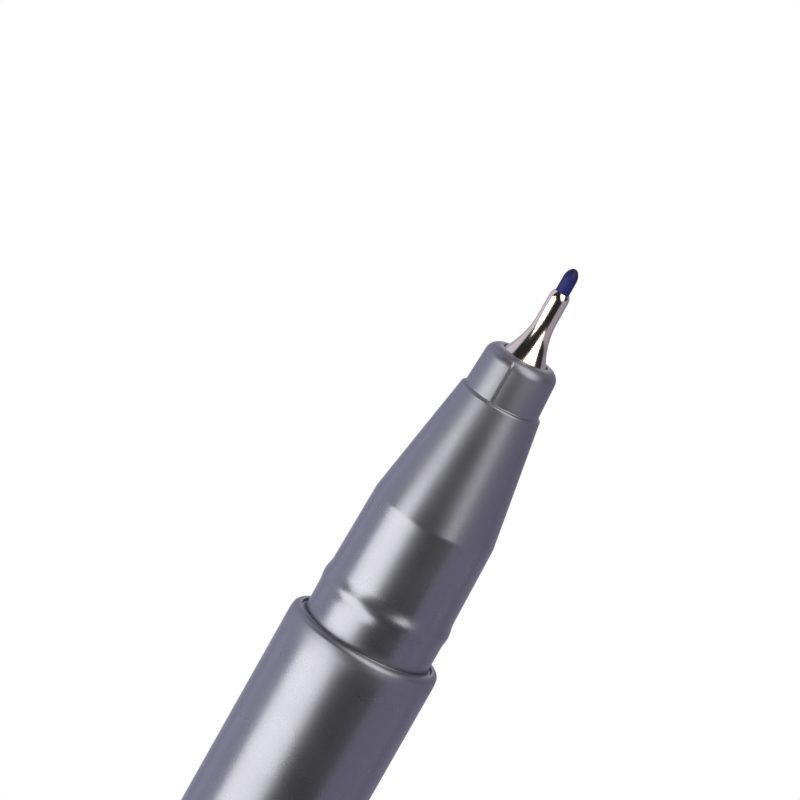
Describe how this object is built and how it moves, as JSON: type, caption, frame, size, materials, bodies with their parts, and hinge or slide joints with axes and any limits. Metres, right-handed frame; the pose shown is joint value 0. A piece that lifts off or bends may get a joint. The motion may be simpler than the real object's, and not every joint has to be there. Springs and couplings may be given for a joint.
{
  "type": "fineliner pen",
  "caption": "Slim silver fineliner with a metal-sleeved blue nib, coned grip section, snap bead and plain barrel, its clip cap posted on the tail.",
  "frame": {"origin": "centre of the flat end of the posted cap, the pen's lowest point when it is held upright", "axes": "+Z along the pen's axis from the cap's end to the nib's point, +X through the pocket clip"},
  "size_m": [0.0118, 0.01, 0.1521],
  "materials": {
    "nib_fibre": "ink-soaked porous plastic",
    "polished_metal": "polished nickel plate",
    "silver_plastic": "metallic-pigmented moulded plastic, satin gloss",
    "ink_fibre": "bonded polyester fibre soaked with ink",
    "clear_film": "thin film",
    "ink_colour_plastic": "blue moulded plastic in the ink's colour",
    "spring_steel": "nickel-plated spring steel",
    "natural_plastic": "natural soft polyethylene"
  },
  "bodies": {
    "pen": {"nib": "nib_fibre", "tip_sleeve": "polished_metal", "nib_holder": "silver_plastic", "front_section": "silver_plastic", "barrel": "silver_plastic", "ink_reservoir": "ink_fibre", "reservoir_film": "clear_film", "tail_plug": "ink_colour_plastic"},
    "cap": {"cap_shell": "silver_plastic", "cap_crown": "ink_colour_plastic", "cap_clip": "spring_steel", "cap_seal": "natural_plastic"}
  },
  "joints": [
    {"name": "cap_slide", "type": "slide", "parent": "pen", "child": "cap", "axis": [0, 0, -1], "range_m": [0, 0.013]}
  ]
}
